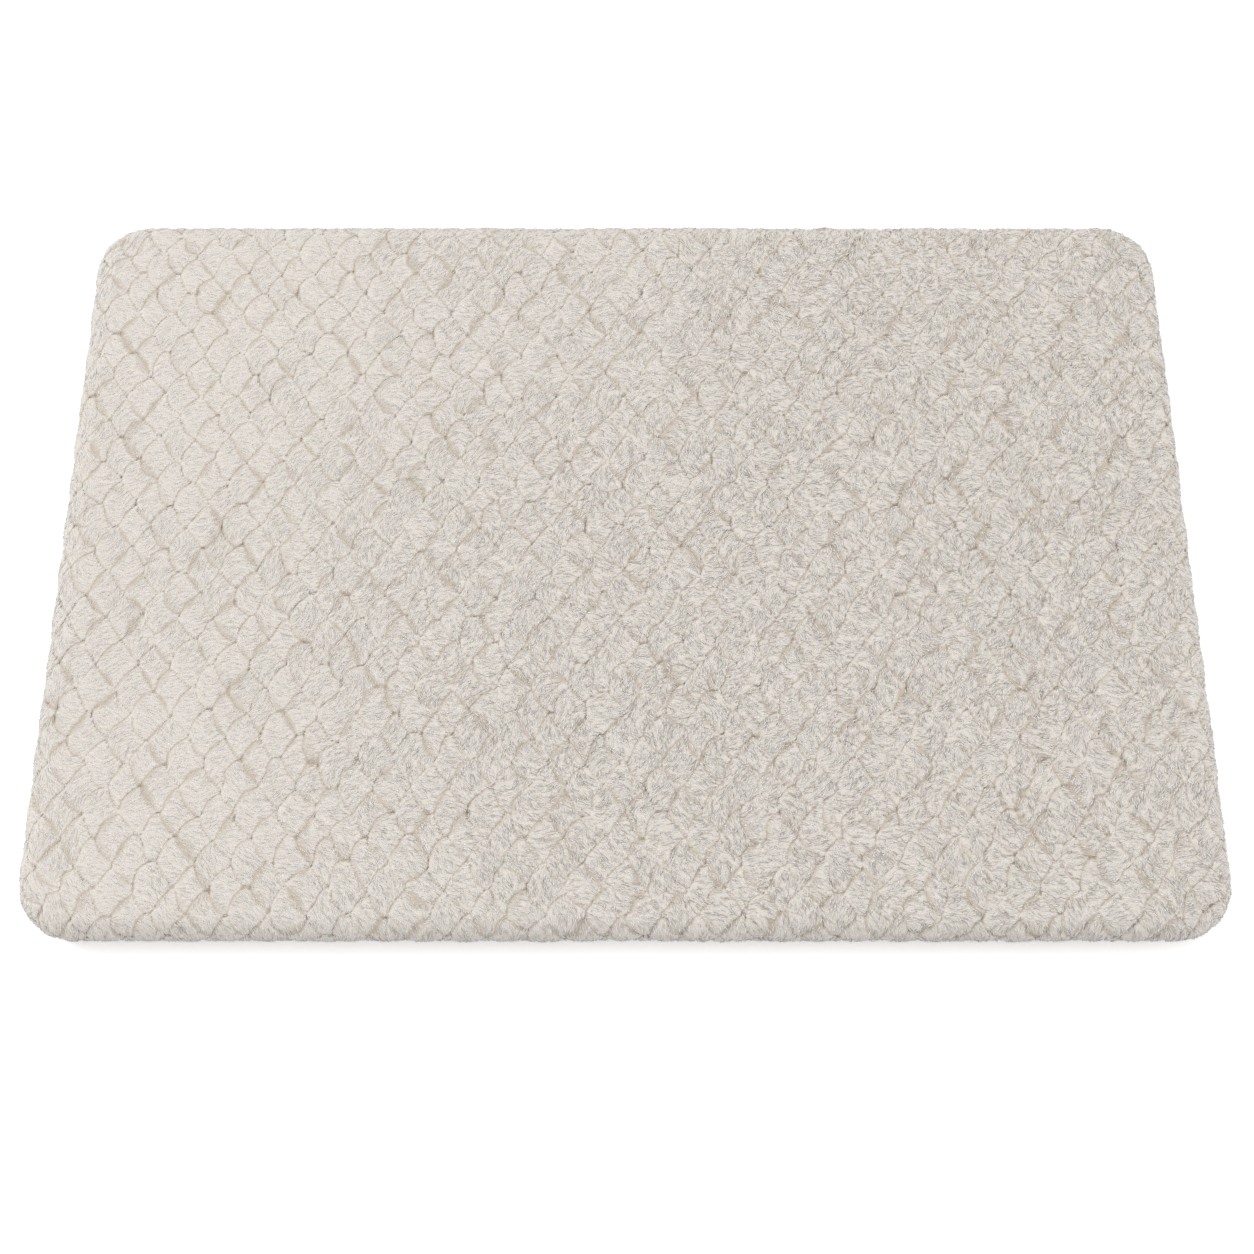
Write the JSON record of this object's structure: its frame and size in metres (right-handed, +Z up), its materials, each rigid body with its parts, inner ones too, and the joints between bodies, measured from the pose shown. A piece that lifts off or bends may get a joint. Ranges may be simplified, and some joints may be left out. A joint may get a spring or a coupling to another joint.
{
  "type": "bath mat",
  "caption": "Foam-filled rectangular bath mat with a deep plush cover in a diamond pattern, rounded corners, and a studded non-slip backing.",
  "frame": {"origin": "under the middle of the mat, on the floor plane that the backing's studs stand on", "axes": "+X along the mat's length, +Y towards the rear edge where the care label is sewn, +Z up through the pile"},
  "size_m": [0.61, 0.43, 0.0261],
  "materials": {
    "plush": "matte",
    "foam": "matte",
    "lining": "matte",
    "grip_rubber": "matte",
    "thread": "matte",
    "label_satin": "satin"
  },
  "bodies": {
    "root": {"plush_cover": "plush", "foam_core": "foam", "foam_lining": "lining", "grip_backing": "grip_rubber", "seam_needle_thread": "thread", "seam_bobbin_thread": "thread", "label_tack": "thread"},
    "label": {"care_label": "label_satin"}
  },
  "joints": [
    {"name": "label_flip", "type": "hinge", "parent": "root", "child": "label", "pos_m": [0, 0.191, 0.0006], "axis": [1, 0, 0], "range_deg": [0, 180]}
  ]
}
